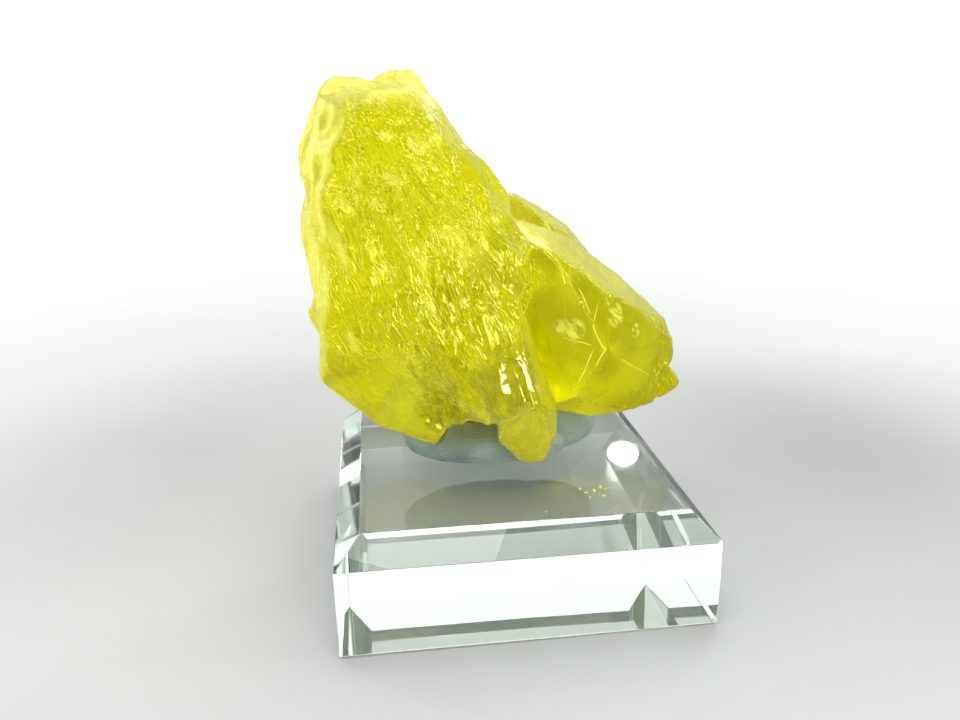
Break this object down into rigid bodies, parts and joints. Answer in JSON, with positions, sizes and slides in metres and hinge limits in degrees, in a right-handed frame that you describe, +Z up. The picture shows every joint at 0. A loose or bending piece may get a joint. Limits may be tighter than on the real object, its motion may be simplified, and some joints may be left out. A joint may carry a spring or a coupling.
{
  "type": "native sulfur crystal",
  "caption": "Native sulfur crystal group, etched and clear faces grown together, set in mineral tack on a square bevelled glass display block.",
  "frame": {"origin": "centre of the glass block's underside", "axes": "+Z up out of the block's top face, -Y towards the viewer, +X along the front edge towards the clear crystal"},
  "size_m": [0.0559, 0.05, 0.0712],
  "materials": {
    "sulfur": "glassy to resinous yellow crystal, clear on the smooth crystal, etched and sparkling on the tall one",
    "tack": "matt grey-blue putty with thumb marks",
    "block_glass": "clear polished glass with a faint green cast"
  },
  "bodies": {
    "root": {"sulfur_crystal": "sulfur", "mineral_tack": "tack", "glass_block": "block_glass"}
  },
  "joints": []
}
